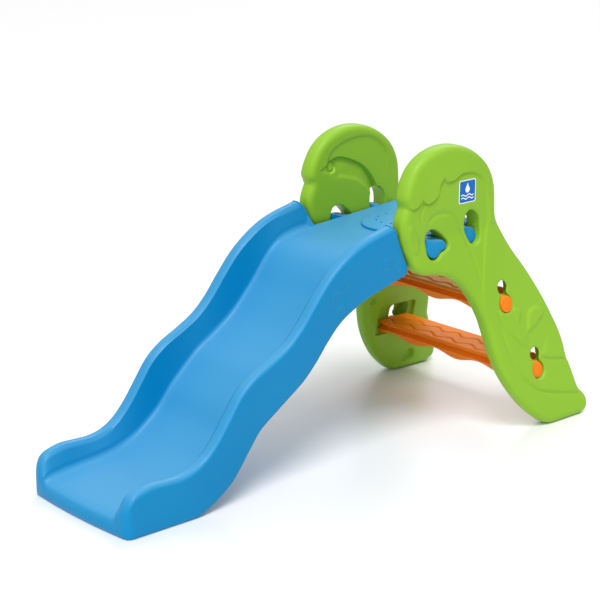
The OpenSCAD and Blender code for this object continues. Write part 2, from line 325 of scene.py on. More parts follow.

# %% [markdown]
# ## Moulded plastic
#
# Blow-moulded polyethylene has a soft sheen, a faint orange-peel waviness left by the
# mould, and a fine grain. Its colour is nearly even, with slow changes where the wall is
# thicker. Faces that look up are painted paler, as painted light from above. The three
# colours of the slide are one make-up with different numbers, so they come from one
# function. All patterns read Object coordinates, so they stay put when the view changes.

# %% The plastic material
def moulded_plastic(name, colour, deep_colour, painted_top_light_colour, roughness, grain):
    material = bpy.data.materials.new(name)
    material.use_nodes = True
    nodes = material.node_tree.nodes
    links = material.node_tree.links
    nodes.clear()

    place_frame = nodes.new("NodeFrame")
    place_frame.label = "where the pattern sits"
    colour_frame = nodes.new("NodeFrame")
    colour_frame.label = "colour of the wall"
    gloss_frame = nodes.new("NodeFrame")
    gloss_frame.label = "sheen and handling marks"
    relief_frame = nodes.new("NodeFrame")
    relief_frame.label = "mould waviness and grain"

    place = nodes.new("ShaderNodeTexCoord")
    place.label = "object coordinates"

    cloud = nodes.new("ShaderNodeTexNoise")
    cloud.label = "slow changes of wall thickness"
    cloud.inputs["Scale"].default_value = 3.2
    cloud.inputs["Detail"].default_value = 3
    cloud.inputs["Roughness"].default_value = 0.45
    links.new(place.outputs["Object"], cloud.inputs["Vector"])

    tint = nodes.new("ShaderNodeValToRGB")
    tint.label = "thin wall to thick wall"
    tint.color_ramp.elements[0].position = 0.36
    tint.color_ramp.elements[0].color = (*deep_colour, 1)
    tint.color_ramp.elements[1].position = 0.64
    tint.color_ramp.elements[1].color = (*colour, 1)
    links.new(cloud.outputs["Fac"], tint.inputs["Fac"])

    speck = nodes.new("ShaderNodeTexNoise")
    speck.label = "pigment specks"
    speck.inputs["Scale"].default_value = 420
    speck.inputs["Detail"].default_value = 2
    links.new(place.outputs["Object"], speck.inputs["Vector"])

    speck_level = nodes.new("ShaderNodeMapRange")
    speck_level.label = "how strong the specks are"
    speck_level.inputs["From Min"].default_value = 0.3
    speck_level.inputs["From Max"].default_value = 0.7
    speck_level.inputs["To Min"].default_value = 0.965
    speck_level.inputs["To Max"].default_value = 1.03
    links.new(speck.outputs["Fac"], speck_level.inputs["Value"])

    dye = nodes.new("ShaderNodeMix")
    dye.label = "tint times specks"
    dye.data_type = "RGBA"
    dye.blend_type = "MULTIPLY"
    dye.inputs["Factor"].default_value = 1
    links.new(tint.outputs["Color"], dye.inputs["A"])
    links.new(speck_level.outputs["Result"], dye.inputs["B"])

    # Painted light: the more a face looks up, the more its colour is mixed towards a paler one, standing
    # in for the lamp above and its sheen on the tops.
    facing = nodes.new("ShaderNodeSeparateXYZ")
    facing.label = "how far a face looks up"
    links.new(place.outputs["Normal"], facing.inputs["Vector"])

    painted_top_light_level = nodes.new("ShaderNodeMapRange")
    painted_top_light_level.label = "painted light on upward faces"
    painted_top_light_level.inputs["From Min"].default_value = 0.1
    painted_top_light_level.inputs["From Max"].default_value = 1.0
    painted_top_light_level.inputs["To Min"].default_value = 0
    painted_top_light_level.inputs["To Max"].default_value = 1
    links.new(facing.outputs["Z"], painted_top_light_level.inputs["Value"])

    painted_top_light_mix = nodes.new("ShaderNodeMix")
    painted_top_light_mix.label = "paler where painted light from above falls"
    painted_top_light_mix.data_type = "RGBA"
    painted_top_light_mix.blend_type = "MIX"
    painted_top_light_mix.inputs["B"].default_value = (*painted_top_light_colour, 1)
    links.new(painted_top_light_level.outputs["Result"], painted_top_light_mix.inputs["Factor"])
    links.new(dye.outputs["Result"], painted_top_light_mix.inputs["A"])

    rub = nodes.new("ShaderNodeTexNoise")
    rub.label = "rubbed and polished patches"
    rub.inputs["Scale"].default_value = 14
    rub.inputs["Detail"].default_value = 5
    rub.inputs["Roughness"].default_value = 0.6
    links.new(place.outputs["Object"], rub.inputs["Vector"])

    sheen = nodes.new("ShaderNodeMapRange")
    sheen.label = "roughness of the skin"
    sheen.inputs["From Min"].default_value = 0.25
    sheen.inputs["From Max"].default_value = 0.75
    sheen.inputs["To Min"].default_value = roughness - 0.045
    sheen.inputs["To Max"].default_value = roughness + 0.055
    links.new(rub.outputs["Fac"], sheen.inputs["Value"])

    peel = nodes.new("ShaderNodeTexNoise")
    peel.label = "orange peel of the mould"
    peel.inputs["Scale"].default_value = 42
    peel.inputs["Detail"].default_value = 2
    links.new(place.outputs["Object"], peel.inputs["Vector"])

    fine = nodes.new("ShaderNodeTexNoise")
    fine.label = "sand-blasted grain"
    fine.inputs["Scale"].default_value = 900
    fine.inputs["Detail"].default_value = 3
    links.new(place.outputs["Object"], fine.inputs["Vector"])

    peel_bump = nodes.new("ShaderNodeBump")
    peel_bump.label = "soft waviness"
    peel_bump.inputs["Strength"].default_value = 0.35
    peel_bump.inputs["Distance"].default_value = 0.0006
    links.new(peel.outputs["Fac"], peel_bump.inputs["Height"])

    grain_bump = nodes.new("ShaderNodeBump")
    grain_bump.label = "fine grain on top"
    grain_bump.inputs["Strength"].default_value = grain
    grain_bump.inputs["Distance"].default_value = 0.00015
    links.new(fine.outputs["Fac"], grain_bump.inputs["Height"])
    links.new(peel_bump.outputs["Normal"], grain_bump.inputs["Normal"])

    shader = nodes.new("ShaderNodeBsdfPrincipled")
    shader.label = "polyethylene"
    shader.inputs["IOR"].default_value = 1.5
    shader.inputs["Specular IOR Level"].default_value = 0.18
    links.new(painted_top_light_mix.outputs["Result"], shader.inputs["Base Color"])
    links.new(sheen.outputs["Result"], shader.inputs["Roughness"])
    links.new(grain_bump.outputs["Normal"], shader.inputs["Normal"])

    output = nodes.new("ShaderNodeOutputMaterial")
    output.label = "surface"
    links.new(shader.outputs["BSDF"], output.inputs["Surface"])

    for node, x, y, group in (
            (place, -1300, 100, place_frame), (cloud, -1000, 400, colour_frame),
            (tint, -760, 400, colour_frame), (speck, -1000, 640, colour_frame),
            (speck_level, -760, 640, colour_frame), (dye, -480, 480, colour_frame),
            (facing, -1000, 880, colour_frame), (painted_top_light_level, -760, 880, colour_frame),
            (painted_top_light_mix, -240, 560, colour_frame), (rub, -1000, 100, gloss_frame),
            (sheen, -760, 100, gloss_frame), (peel, -1000, -180, relief_frame),
            (fine, -1000, -420, relief_frame), (peel_bump, -480, -180, relief_frame),
            (grain_bump, -260, -320, relief_frame), (shader, 0, 100, None), (output, 300, 100, None)):
        node.location = (x, y)
        node.parent = group
    print("material", name)
    return material


# The fourth colour of each plastic is the paler colour painted on upward faces as painted light from
# above.
water_blue = moulded_plastic("water_blue_plastic", (0.0, 0.24, 0.515), (0.0, 0.225, 0.49),
                             (0.072, 0.335, 0.61), 0.34, 0.25)
leaf_green = moulded_plastic("leaf_green_plastic", (0.252, 0.488, 0.028), (0.238, 0.468, 0.024),
                             (0.30, 0.55, 0.055), 0.38, 0.3)
warm_orange = moulded_plastic("warm_orange_plastic", (0.84, 0.20, 0.006), (0.80, 0.185, 0.005),
                              (1.0, 0.28, 0.012), 0.42, 0.4)

# %% [markdown]
# ## The chute
#
# The chute is one blown part: a sliding bed between two fat round rails, closed below by a
# flat belly, with the platform behind it. Its skin is a sheet wrapped round a row of
# sections. Each section is drawn from the belly's middle out round the rail and back in
# to the middle of the bed, and its heights come from three long lines: crest, bed and
# belly. At the foot and at the platform's rear the sheet is gathered in and stitched shut.

# %% The chute's long lines
CREST = [[0, 34], [0.4, 50], [2, 66], [6, 80], [12, 93], [22, 105], [38, 113], [75, 121], [115, 120],
         [160, 119], [200, 127], [240, 149], [277, 186], [313, 234], [350, 283], [395, 318], [450, 345],
         [503, 375], [547, 415], [589, 466], [640, 522], [700, 566], [760, 595], [800, 608], [838, 617]]
BED = [[0, 25], [3, 36], [8, 42], [26, 51], [67, 57], [118, 62], [168, 66], [220, 75], [273, 94],
       [315, 120], [359, 156], [399, 203], [447, 248], [488, 283], [543, 316], [605, 359], [669, 424],
       [711, 477], [747, 515], [783, 534], [830, 543], [880, 546.7], [1203, 571]]
BELLY = [[0, 13], [2, 5], [6, 0.6], [12, 0], [195, 0], [240, 13], [280, 34], [317, 61], [345, 93],
         [372, 129], [408, 173], [455, 206], [498, 234], [550, 269], [590, 307], [624, 347], [659, 383],
         [695, 409], [756, 437], [827, 458], [884, 473], [940, 487], [985, 492.6], [1203, 509]]
RAIL_END = [[908, 470], [909, 482], [910, 493], [901, 516], [888, 544], [876, 574], [868, 597],
            [860, 611], [852, 622]]
RAIL_OUT = 196.5
RAIL_TOP_IN = 166
BED_EDGE = 150
PLATFORM_OUT = 153
PLATFORM_REAR = 1203
SHEAR_FROM = 730
RAIL_STOP = 838


def height_on(line, station):
    """The height of a long line at a station."""
    curve = smooth_line(line, per=8)
    order = np.maximum.accumulate(curve[:, 0])
    return np.interp(station, order, curve[:, 1])


def rail_end_at(z):
    """The station at which the rail ends, at this height."""
    curve = smooth_line(RAIL_END, per=6)
    return np.interp(z, curve[:, 1], curve[:, 0])


# %% One section of the chute
def corner(cy, cz, ry, rz, start, end, count):
    """Points on a round corner, from one angle to another, both ends left out."""
    angles = np.radians(np.linspace(start, end, count + 2)[1:-1])
    return [(cy + ry * math.cos(a), cz + rz * math.sin(a)) for a in angles]


def straight(a, b, count):
    """Points from a to b, both included."""
    return [tuple(np.array(a) + (np.array(b) - np.array(a)) * t) for t in np.linspace(0, 1, count)]


def channel_section(out, crest, bed, belly, inset=0.0):
    """Half a section with a rail, from the belly's middle to the bed's middle."""
    out = out - inset
    crest = crest - inset
    top_in = RAIL_TOP_IN + 0.25 * inset
    tall = crest - belly
    r_low = min(7, 0.3 * tall)
    r_out = min(15, 0.45 * tall)
    r_in = min(8, 0.45 * max(crest - bed, 2))
    step = max(crest - bed, 1)
    r_bed = min(20, 0.55 * step)
    wall_low = (BED_EDGE, bed + r_bed * 0.95)
    wall_high = (top_in - 0.6 * r_in, crest - r_in)
    section = straight((0, belly), (out - r_low, belly), 9)
    section += corner(out - r_low, belly + r_low, r_low, r_low, -90, 0, 3)
    section += straight((out, belly + r_low), (out, crest - r_out), 9)
    section += corner(out - r_out, crest - r_out, r_out, r_out, 0, 82, 6)
    section += straight((out - r_out + 2, crest - 0.15), (top_in + r_in - 1, crest - 0.15), 3)
    section += corner(top_in + r_in - 1, crest - r_in, r_in, r_in, 96, 172, 4)
    section += straight(wall_high, wall_low, 7)
    section += corner(BED_EDGE - r_bed, bed + r_bed, r_bed, r_bed, -4, -86, 7)
    section += straight((BED_EDGE - r_bed - 2, bed), (0, bed), 9)
    return np.array(section)


def platform_section(out, top, belly, inset=0.0):
    """Half a section of the platform, with as many points as a section with a rail.
    They lie across the bed where a section's do, so that no crease forms between."""
    out = out - inset
    top = top - inset
    belly = belly + inset
    r = min(7, 0.45 * (top - belly))
    section = straight((0, belly), (out - r, belly), 9)
    section += corner(out - r, belly + r, r, r, -90, 0, 3)
    section += straight((out, belly + r), (out, top - r), 9)
    section += corner(out - r, top - r, r, r, 0, 90, 6)
    section += straight((out - r, top), (BED_EDGE - 19, top), 21)
    section += straight((BED_EDGE - 22, top), (0, top), 9)
    return np.array(section)


# %% One row of the skin
FOOT_ROUND = 20
FOOT_BOW = 10
BOW_FADES_BY = 80
BELLY_CORNER = 470
BED_CORNER = 545


def foot_half_width(station):
    """Half the width of the chute, whose corners are round at the tip of the foot."""
    if station >= FOOT_ROUND:
        return RAIL_OUT
    return RAIL_OUT - FOOT_ROUND + math.sqrt(FOOT_ROUND ** 2 - (FOOT_ROUND - station) ** 2)


def channel_row(station, inset=0.0):
    """A row with rails. At the foot it bows forward, and near the platform it leans to
    follow the front edge of the panels."""
    lean = float(smoothstep((station - SHEAR_FROM) / (RAIL_STOP - SHEAR_FROM)))
    low_station = station + lean * (rail_end_at(BELLY_CORNER) - RAIL_STOP)
    bed_station = station + lean * (rail_end_at(BED_CORNER) - RAIL_STOP)
    half = channel_section(foot_half_width(station), height_on(CREST, station),
                           height_on(BED, bed_station),
                           max(0.0, height_on(BELLY, low_station)), inset)
    bow = FOOT_BOW * (1 - (half[:, 0] / RAIL_OUT) ** 2) * (1 - smoothstep(station / BOW_FADES_BY))
    return np.column_stack([station + lean * (rail_end_at(half[:, 1]) - RAIL_STOP) - bow, half])


def platform_row(stations, inset=0.0):
    """A row of the platform whose points lie at these stations."""
    half = platform_section(PLATFORM_OUT, height_on(BED, float(stations[-1])),
                            height_on(BELLY, float(stations[0])), inset)
    return np.column_stack([stations, half])


def gathered(row, middle, share):
    """A copy of a row, drawn in towards a middle height to this share of its size."""
    row = row.copy()
    row[:, 2] = middle + (row[:, 2] - middle) * share
    return row


# %% The rows from the foot to the end of the rails
FOOT_MIDDLE = 19
END_ROUND = 9
BED_SLOPE = 0.075
BELLY_BELOW = 520
rows = [gathered(channel_row(0), FOOT_MIDDLE, share) for share in (0.004, 0.3, 0.6)]
near_foot = [0, 0.25, 0.8, 1.8, 3.5, 6, 9, 13, 18, 24, 31, 39]
for station in near_foot + list(np.linspace(48, RAIL_STOP - 10, 84)):
    rows.append(channel_row(station))
for turn in np.radians([0, 20, 40, 60, 78, 90]):
    row = channel_row(RAIL_STOP, inset=END_ROUND * (1 - math.cos(turn)))
    on_rail = smoothstep((row[:, 1] - BED_EDGE + 6) / 12) * smoothstep((row[:, 2] - BELLY_CORNER) / 30)
    back = -(1 - on_rail) * END_ROUND * (1 - turn / math.pi * 2)
    row[:, 0] += on_rail * END_ROUND * (math.sin(turn) - 1) + back
    row[:, 2] += back * BED_SLOPE * (row[:, 2] > BELLY_BELOW)
    rows.append(row)

# %% The rows of the platform
STEP_BACK = 1.5
REAR_ROUND = 14
last_rail_row = rows[-1]
front = last_rail_row[:, 0] + STEP_BACK
first_platform = platform_row(front)
for share in (0.3, 0.6, 0.85, 0.97):
    rows.append(last_rail_row + (first_platform - last_rail_row) * share)
for share in np.linspace(0, 1, 30):
    rows.append(platform_row(front + (PLATFORM_REAR - REAR_ROUND - front) * share))
for turn in np.radians([25, 50, 70, 90]):
    station = PLATFORM_REAR - REAR_ROUND + REAR_ROUND * math.sin(turn)
    rows.append(platform_row(np.full(len(front), station), inset=REAR_ROUND * (1 - math.cos(turn))))
rows.append(gathered(rows[-1], rows[-1][:, 2].mean(), 0.6))
print("chute rows:", len(rows), "points in a half section:", len(rows[0]))


# %% Wrap the sheet round the sections
def wrap_rings(name, places):
    """A grid whose one way runs along the rings and whose other way runs round each ring.
    The first and last point of a ring are the same place, and open ends are stitched."""
    places = np.array(places)
    long_count, round_count = places.shape[:2]
    start_clean()
    bpy.ops.mesh.primitive_grid_add(x_subdivisions=long_count - 1, y_subdivisions=round_count - 1,
                                    size=2)
    piece = bpy.context.object
    piece.name = name
    flat = points_of(piece)
    i = np.rint((flat[:, 0] + 1) / 2 * (long_count - 1)).astype(int)
    j = np.rint((flat[:, 1] + 1) / 2 * (round_count - 1)).astype(int)
    co = places[i, j] * MM
    co[:, 0] += foot_tip * MM
    pull_to(piece, co)
    edit_all()
    bpy.ops.mesh.remove_doubles(threshold=0.00002)
    bpy.ops.mesh.select_all(action="DESELECT")
    bpy.ops.mesh.select_mode(type="EDGE")
    bpy.ops.mesh.select_non_manifold()
    bpy.ops.mesh.fill_holes(sides=0)
    face_outwards()
    return piece


def both_halves(row):
    """A half section and its mirror image, joined into one ring."""
    far = row[1:-1][::-1] * np.array([1, -1, 1])
    return np.vstack([row, far, row[:1]])


chute = wrap_rings("chute_skin", [both_halves(row) for row in rows])
print("chute:", len(chute.data.vertices), "points", len(chute.data.polygons), "faces")


# %% [markdown]
# ## The side panels
#
# A side panel is a hollow slab with a fat round rim. Its head stands upright beside the
# platform, and below a bend the leg leans outwards. It is easiest to model the panel flat:
# draw its outline, draw it out to its thickness, round both rims, cut the windows, and only
# lean the leg at the very end. The pattern of foam lines and folds is pressed in between,
# while the faces are still flat.

# %% The panel's outline and its windows
BACK_EDGE = [[1464, 0], [1490, 9], [1500, 30], [1493, 52], [1475, 69], [1464, 90], [1455, 124],
             [1444, 158], [1435, 176], [1429, 226], [1405, 286], [1370, 355], [1325, 427],
             [1277, 493], [1243, 552]]
CROWN = [[1225, 590], [1222, 630], [1218, 672], [1206, 706], [1184, 738], [1147, 768], [1100, 790],
         [1048, 800], [1000, 797], [955, 782], [920, 756], [898, 722], [887, 692], [886, 674],
         [893, 658]]
FRONT_EDGE = [[887, 643], [879, 621], [877, 598], [883, 570], [893, 543], [906, 516], [920, 488],
              [948, 472], [985, 466], [1030, 453], [1066, 432], [1094, 404], [1114, 374],
              [1130, 342], [1142, 310], [1152, 264], [1164, 212], [1184, 160], [1215, 108],
              [1255, 59], [1302, 19], [1324, 6], [1348, 0]]
FRONT_WINDOW = [[958, 545], [959, 527], [968, 513], [982, 506], [996, 507], [1007, 516], [1017, 522],
                [1031, 525], [1040, 534], [1040, 546], [1030, 559], [1017, 571], [1001, 582], [986, 587],
                [972, 586], [962, 578], [958, 563]]
REAR_WINDOW = [[1104, 568], [1112, 545], [1122, 529], [1137, 522], [1152, 528], [1160, 545],
               [1161, 572], [1155, 598], [1138, 614], [1121, 617], [1107, 604], [1102, 587]]
# Each step is known by the place of its tread's front edge. Its grip hole and the seat of
# its peg are given from there, with their radii.
UPPER_STEP = (1139, 384)
LOWER_STEP = (1231, 188)
STEP_DEEP = 120
GRIP = (77, 12, 18)
PEG_SEAT = (83, -33, 24)
NECK = 22


def circle_line(x, z, r, start=0, end=360, count=36):
    """Points on a round line, from one angle up to the other, which is left out."""
    return [(x + r * math.cos(a), z + r * math.sin(a))
            for a in np.radians(np.linspace(start, end, count, endpoint=False))]


def keyhole_line(step):
    """Grip hole above, a straight neck, and a round seat for the step's peg below."""
    grip = np.array([step[0] + GRIP[0], step[1] + GRIP[1]])
    seat = np.array([step[0] + PEG_SEAT[0], step[1] + PEG_SEAT[1]])
    turn = math.degrees(math.atan2(*(seat - grip)[::-1]))
    grip_open = math.degrees(math.asin(NECK / 2 / GRIP[2]))
    seat_open = math.degrees(math.asin(NECK / 2 / PEG_SEAT[2]))
    return (circle_line(*grip, GRIP[2], turn + grip_open, turn + 360 - grip_open, 28)
            + circle_line(*seat, PEG_SEAT[2], turn + 180 + seat_open, turn + 540 - seat_open, 32))


# %% Cut the slab
CUTTER_START = -30
CUT_THROUGH = PANEL_THICK + 30
STEP_POCKET = 12
GRIP_POCKET = 43


def cut(slab, outline, depth):
    """Cuts an outline into a slab, from the inner face to this depth."""
    combine(slab, drawn_out("cutter", outline, CUTTER_START, depth), "DIFFERENCE")


def make_slab():
    """The flat panel with round rims and all its windows."""
    outline = smooth_line(BACK_EDGE + CROWN + FRONT_EDGE, per=3)
    slab = drawn_out("right_panel_skin", outline, 0, PANEL_THICK)
    round_rims(slab, (0, PANEL_THICK), radius=19, segments=6)
    for line in (smooth_line(FRONT_WINDOW, 4, True), smooth_line(REAR_WINDOW, 4, True),
                 keyhole_line(UPPER_STEP), keyhole_line(LOWER_STEP)):
        cut(slab, line, CUT_THROUGH)
    return slab


def pocket_line(step, front_gap):
    """The pocket that takes a step's end, with its upper corners rounded."""
    x0, x1 = step[0] - front_gap, step[0] + STEP_DEEP + 11
    z0, z1 = step[1] - 47, step[1] + 42
    r = 10
    return [(x0, z0), (x1, z0), (x1 + 2, z1 - r), (x1 + 2 - 0.3 * r, z1 - 0.3 * r), (x1 + 2 - r, z1),
            (x0 + r, z1), (x0 + 0.3 * r, z1 - 0.3 * r), (x0, z1 - r)]


def rounded_box_line(x0, x1, z0, z1, r):
    """A box with round corners."""
    line = []
    for cx, cz, start in ((x1 - r, z1 - r, 0), (x0 + r, z1 - r, 90), (x0 + r, z0 + r, 180),
                          (x1 - r, z0 + r, 270)):
        line += circle_line(cx, cz, r, start, start + 90, 6)
    return line


panel = make_slab()
for line in (pocket_line(UPPER_STEP, front_gap=3), pocket_line(LOWER_STEP, front_gap=11)):
    cut(panel, line, STEP_POCKET)
for step in (UPPER_STEP, LOWER_STEP):
    over_tread = rounded_box_line(step[0] + 44, step[0] + 116, step[1] - 16, step[1] + 37, 12)
    cut(panel, over_tread, GRIP_POCKET)
print("slab cut:", len(panel.data.vertices), "points")

# %% [markdown]
# The mould leaves one even skin with softened corners. A voxel remesh does the same: it
# wraps the cut slab in small even faces, and a few rounds of smoothing round the rims of
# the windows. The flat faces lie square in the voxel grid, so they stay perfectly flat.

# %% Even skin
even_skin(panel, voxel=3.0, smoothing=5)
print("panel skin:", len(panel.data.polygons), "faces")

# %% [markdown]
# ## The pattern on the panels
#
# Seen from outside, the panel is a breaking wave. A scalloped foam line crosses the head,
# and the crown above it stands proud. Soft folds run down the leg, a drop swells by the
# front window, and two leaves lie on the leg. The inside shows the curl of the wave: a
# channel that starts in a round dimple and runs into the rear window.
#
# Each line is a short list of stations and heights. Faces near a line are divided once
# more, so that there is enough mesh for a crisp step, and then the points are pushed in or
# out by a rule that depends on the distance to the line.

# %% Lines of the pattern
FOAM = (smooth_line([[850, 688], [864, 674], [891, 660], [914, 652], [932, 660], [944, 672]]),
        smooth_line([[944, 672], [954, 662], [969, 659], [987, 665], [1001, 679], [1005, 699],
                     [1020, 718]]),
        smooth_line([[1020, 718], [1035, 706], [1061, 708], [1084, 719], [1117, 721], [1152, 707],
                     [1172, 683], [1183, 651], [1190, 608], [1189, 574], [1169, 512], [1148, 428],
                     [1137, 377], [1140, 300]]))
ARCH = smooth_line([[968, 604], [984, 618], [1007, 624], [1035, 622], [1059, 612], [1079, 592],
                    [1095, 562], [1108, 532], [1121, 495], [1132, 458], [1141, 414]])
DROP_TOP = smooth_line([[953, 658], [944, 641], [940, 622], [950, 603]])
DROP = smooth_line([[888, 590], [889, 560], [903, 537], [921, 531], [935, 545], [937, 568], [925, 592],
                    [910, 612], [896, 610]], closed=True)
LEG_FOLDS = (smooth_line([[1188, 339], [1198, 310], [1218, 279], [1243, 250], [1279, 222]]),
             smooth_line([[1330, 194], [1349, 183], [1385, 174], [1426, 167], [1450, 166]]),
             smooth_line([[1191, 298], [1206, 244], [1223, 196], [1246, 156], [1281, 121], [1319, 99],
                          [1384, 81], [1446, 67], [1480, 62]]))
BIG_LEAF = smooth_line([[1299, 315], [1312, 325], [1333, 329], [1355, 320], [1364, 303], [1351, 288],
                        [1321, 270], [1294, 261], [1282, 258], [1287, 280]], closed=True)
SMALL_LEAF = smooth_line([[1244, 331], [1253, 337], [1267, 333], [1275, 323], [1270, 307], [1257, 293],
                          [1250, 307]], closed=True)
CROWN_FOLD = smooth_line([[952, 672], [945, 700], [950, 724], [965, 741], [997, 757], [1047, 766],
                          [1097, 763], [1130, 748], [1158, 722], [1169, 688], [1168, 640]])
CURL_TOP = smooth_line([[960, 712], [972, 717], [998, 717], [1047, 699], [1081, 678], [1112, 644],
                        [1128, 614], [1136, 590]])
CURL_LOW = smooth_line([[945, 674], [972, 658], [998, 658], [1048, 643], [1075, 627], [1094, 611],
                        [1108, 590], [1120, 568]])
CURL_EYE = (960, 696, 15)
DIMPLES = ((1379, 42, 23, 13), (1186, 259, 12, 8))
OUTER_LINES = (*FOAM, ARCH, DROP_TOP, *LEG_FOLDS)
EYE_RIM = np.array(circle_line(*CURL_EYE, 0, 370, 37))
INNER_LINES = (CURL_TOP, CURL_LOW, EYE_RIM)


# %% The height of the pattern
def soft_groove(distance, width, depth):
    """How far a groove of this width and depth goes down, at a distance from its line."""
    return -depth * np.exp(-(distance / width) ** 2)


def pillow(points, loop, height, shoulder):
    """A cushion of the given height inside a closed loop."""
    distance, side, _ = nearest_on(points, np.vstack([loop, loop[:1]]))
    area = np.sum(loop[:, 0] * np.roll(loop[:, 1], -1) - loop[:, 1] * np.roll(loop[:, 0], -1))
    inside = distance * side * np.sign(area)
    return height * smoothstep((inside + 1.5) / shoulder)


def outer_pattern(points):
    """How far each point of the outer face stands out: foam, arch, drop, folds and leaves."""
    height = np.zeros(len(points))
    # The foam line: the crown above it stands proud, with a fine groove at its foot.
    foam = np.vstack([line[:-1] for line in FOAM] + [FOAM[-1][-1:]])
    distance, side, along = nearest_on(points, foam)
    signed = distance * side
    strength = np.interp(along, [0, 0.62, 0.8, 1], [5.2, 5.0, 4.4, 1.0])
    edge = np.interp(along, [0, 0.6, 0.72, 1], [2.4, 2.4, 9, 13])
    fade = np.exp(-(np.maximum(signed, 0) / 75) ** 2)
    height += strength * smoothstep((signed + edge / 2) / edge) * fade
    fade = np.interp(along, [0, 0.6, 0.7], [1, 1, 0])
    height += soft_groove(signed + 2.4, width=2.4, depth=1.6) * fade
    # The arch and the drop's top line are plain grooves that fade at their ends.
    distance, _, along = nearest_on(points, ARCH)
    fade = np.interp(along, [0, 0.12, 0.7, 1], [0.3, 1, 1, 0.2])
    height += soft_groove(distance, width=6, depth=3.2) * fade
    distance, _, along = nearest_on(points, DROP_TOP)
    height += soft_groove(distance, width=5, depth=3.0) * np.interp(along, [0, 0.6, 1], [1, 0.8, 0])
    # The folds of the leg rise on one side and have a soft groove along the other.
    for fold, depth in zip(LEG_FOLDS, (3.2, 4.0, 3.4)):
        distance, side, along = nearest_on(points, fold)
        signed = distance * side
        fade = np.interp(along, [0, 0.15, 0.85, 1], [0, 1, 1, 0.3])
        slope = smoothstep((signed + 5) / 10) * np.exp(-(np.maximum(signed, 0) / 45) ** 2)
        height += depth * fade * slope
        height += soft_groove(signed + 4, width=5, depth=1.6) * fade
    height += pillow(points, DROP, height=4.4, shoulder=13)
    height += pillow(points, BIG_LEAF, height=5.0, shoulder=13)
    height += pillow(points, SMALL_LEAF, height=3.8, shoulder=9)
    return height


def inner_pattern(points):
    """How far each point of the inner face stands out: crown fold, curl, its eye and dimples."""
    height = np.zeros(len(points))
    distance, side, along = nearest_on(points, CROWN_FOLD)
    signed = -distance * side
    height -= (3.6 * smoothstep((signed + 4) / 9) * np.exp(-(np.maximum(signed, 0) / 55) ** 2)
               * np.interp(along, [0, 0.1, 0.85, 1], [0, 1, 1, 0]))
    top_distance, top_side, top_along = nearest_on(points, CURL_TOP)
    low_distance, low_side, _ = nearest_on(points, CURL_LOW)
    under = -top_distance * top_side
    above = low_distance * low_side
    between = smoothstep((under + 2) / 4) * smoothstep(above / 14)
    slope = 0.35 + 0.65 * np.clip(above / (above + np.abs(under) + 0.1), 0, 1)
    depth = np.interp(top_along, [0, 0.08, 0.6, 1], [3.4, 8.5, 10, 20])
    height -= depth * between * slope
    # The eye of the curl: a flat bottom with a deeper ring round it.
    x, z, r = CURL_EYE
    eye = np.hypot(points[:, 0] - x, points[:, 1] - z)
    height = np.where(eye < r + 5, np.maximum(height, -5.5), height)
    height -= 2.5 * (1 - smoothstep((eye - r + 2) / 3)) + 4.5 * np.exp(-((eye - r) / 2.4) ** 2)
    for x, z, r, depth in DIMPLES:
        away = np.hypot(points[:, 0] - x, points[:, 1] - z)
        height -= depth * (1 - smoothstep((away - r + 6) / 7))
    return height


# %% Press the pattern
PATTERN_REACH = 5


def flat_view(co):
    """Stations and heights of points that are given in mm."""
    return np.column_stack([co[:, 0] - foot_tip, co[:, 2]])


def press_pattern(piece):
    """Divides the faces near the lines once more, and then pushes the points in or out."""
    for lines, face_at in ((OUTER_LINES, PANEL_THICK), (INNER_LINES, 0)):
        centre = face_centres(piece) / MM
        near = np.zeros(len(centre), bool)
        for line in lines:
            near |= nearest_on(flat_view(centre), line)[0] < PATTERN_REACH
        select_faces(piece, near & (np.abs(centre[:, 1] - face_at) < 1.5))
        bpy.ops.mesh.subdivide(number_cuts=1)
        bpy.ops.object.mode_set(mode="OBJECT")
    co = points_of(piece) / MM
    outside = smoothstep((co[:, 1] - PANEL_THICK + 16) / 14)
    inside = smoothstep((14 - co[:, 1]) / 12)
    co[:, 1] += outside * outer_pattern(flat_view(co)) - inside * inner_pattern(flat_view(co))
    pull_to(piece, co * MM)


press_pattern(panel)
print("pattern pressed:", len(panel.data.polygons), "faces")

# %% [markdown]
# Now the leg leans. Below the bend every point moves outwards by the same slope, and a
# short soft stretch round the bend keeps the surface smooth. The left panel is the right
# one mirrored in the slide's middle plane.

# %% Lean the leg and mirror the panel
SOFT_BEND = 10


def lean_out(piece):
    """Moves a piece modelled flat to its panel's place, and leans what is below the bend."""
    co = points_of(piece) / MM
    below = BEND_Z - co[:, 2]
    drop = np.where(np.abs(below) < SOFT_BEND, (below + SOFT_BEND) ** 2 / (4 * SOFT_BEND),
                    np.maximum(below, 0))
    co[:, 1] += HEAD_INNER + LEAN * drop
    pull_to(piece, co * MM)


def mirrored(piece, name):
    """A copy on the other side of the slide, with its faces turned outwards again."""
    only(piece)
    bpy.ops.object.duplicate()
    other = bpy.context.object
    other.name = name
    co = points_of(other)
    co[:, 1] *= -1
    pull_to(other, co)
    edit_all()
    bpy.ops.mesh.flip_normals()
    bpy.ops.object.mode_set(mode="OBJECT")
    return other


lean_out(panel)
panel.data.materials.append(leaf_green)
only(panel)
bpy.ops.object.shade_smooth()
left_panel = mirrored(panel, "left_panel_skin")
for piece, node in ((panel, "right_side_panel"), (left_panel, "left_side_panel")):
    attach(piece, "slide")
    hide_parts(node)
print("panels:", len(panel.data.polygons), "faces each")

# %% [markdown]
# ## Pegs and bubbles on the chute
#
# Two pegs on each side of the platform drop into the windows of a panel and lock the slide
# together. The front peg nearly fills the lower part of its window. The rear peg is smaller
# and lies deeper. Faint rings, like bubbles, stand half a millimetre proud of the chute's
# sides. The steps are held by the same kind of peg, so both use one function.

